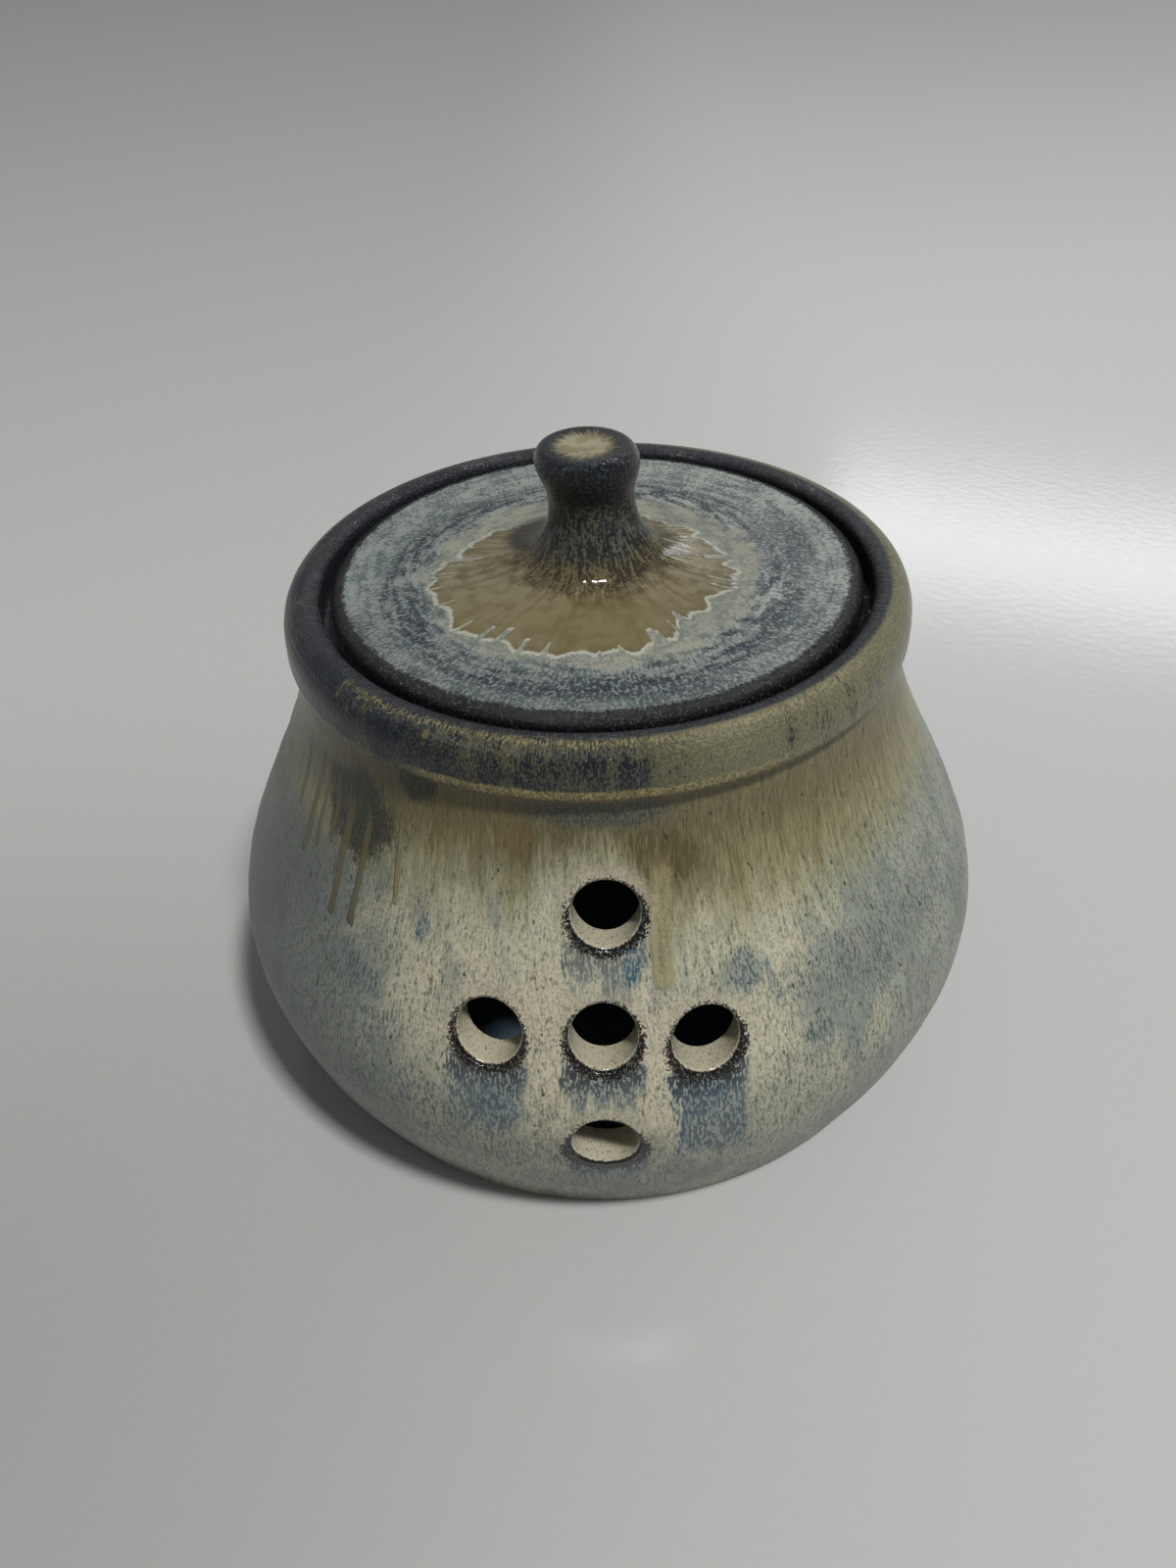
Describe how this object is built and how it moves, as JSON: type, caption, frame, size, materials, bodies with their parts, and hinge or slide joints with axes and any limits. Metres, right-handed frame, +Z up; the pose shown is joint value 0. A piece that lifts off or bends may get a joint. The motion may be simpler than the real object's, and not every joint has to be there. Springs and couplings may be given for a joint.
{
  "type": "garlic keeper",
  "caption": "Wheel-thrown, low-bellied stoneware garlic keeper with a cross of vent holes in its front and a loose drop-in lid with a bobbin knob.",
  "frame": {"origin": "on the table, under the middle of the jar's foot ring", "axes": "+Z up along the axis that both pieces are thrown about, -Y out of the middle vent hole, +X to the right when the vents face the viewer"},
  "size_m": [0.1304, 0.1301, 0.1061],
  "materials": {
    "jar_glaze": "glossy runny glaze, cream to blue-grey, tan under a dark rim",
    "lid_glaze": "mottled blue-grey glaze with dark edge and a tan run round the knob"
  },
  "bodies": {
    "jar": {"jar": "jar_glaze"},
    "lid": {"lid": "lid_glaze"}
  },
  "joints": [
    {"name": "lid_lift", "type": "slide", "parent": "jar", "child": "lid", "axis": [0, 0, 1], "range_m": [0, 0.1]}
  ]
}
